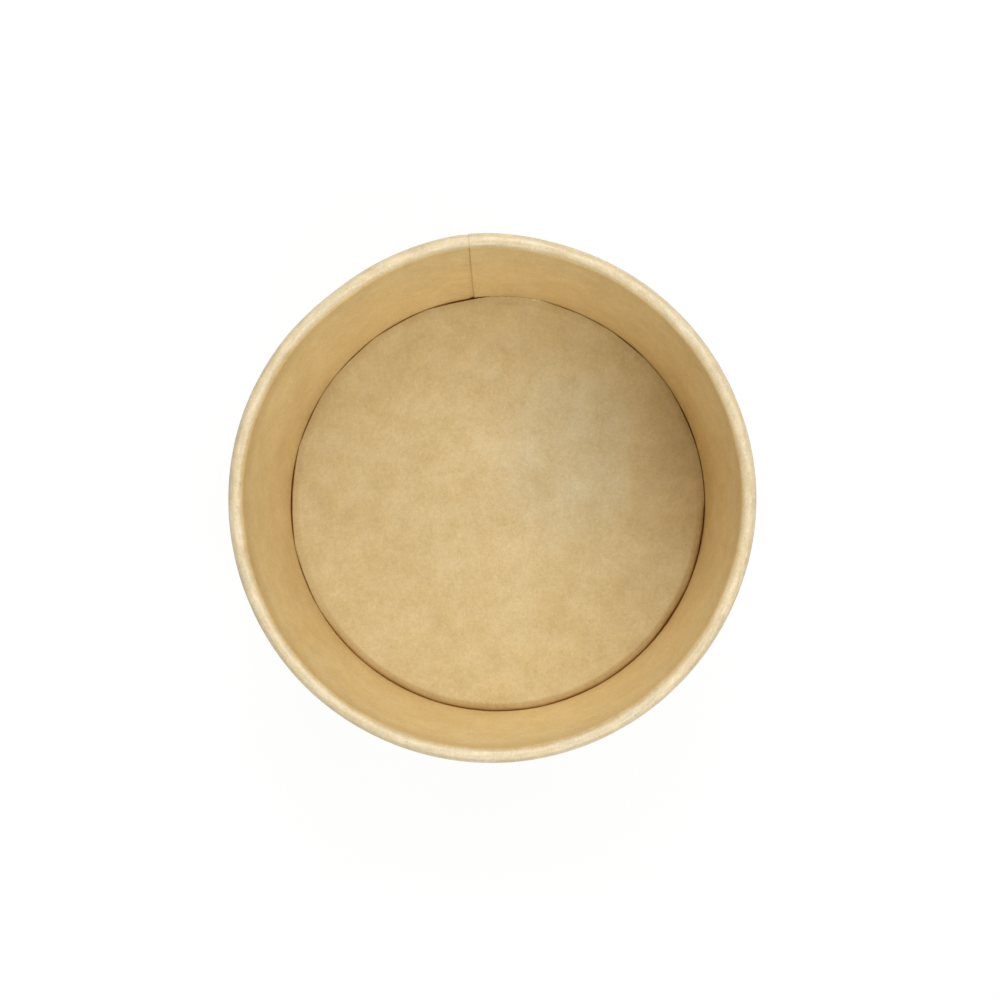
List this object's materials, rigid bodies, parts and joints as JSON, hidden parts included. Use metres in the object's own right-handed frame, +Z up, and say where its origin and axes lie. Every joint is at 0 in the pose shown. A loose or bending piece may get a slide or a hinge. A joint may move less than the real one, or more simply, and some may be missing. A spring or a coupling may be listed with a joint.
{
  "type": "paper ice cream tub",
  "caption": "Round tapered tub of kraft paperboard for ice cream, open at the top, with a rolled rim, a side seam and a raised floor",
  "frame": {"origin": "centre of the foot, on the plane that the tub stands on", "axes": "+Z up along the tub's axis, +Y towards the side seam, +X to the right of the picture"},
  "size_m": [0.09, 0.0904, 0.06],
  "materials": {
    "wall_paperboard": "satin",
    "floor_paperboard": "satin"
  },
  "bodies": {
    "root": {"side_wall": "wall_paperboard", "base_disc": "floor_paperboard"}
  },
  "joints": []
}
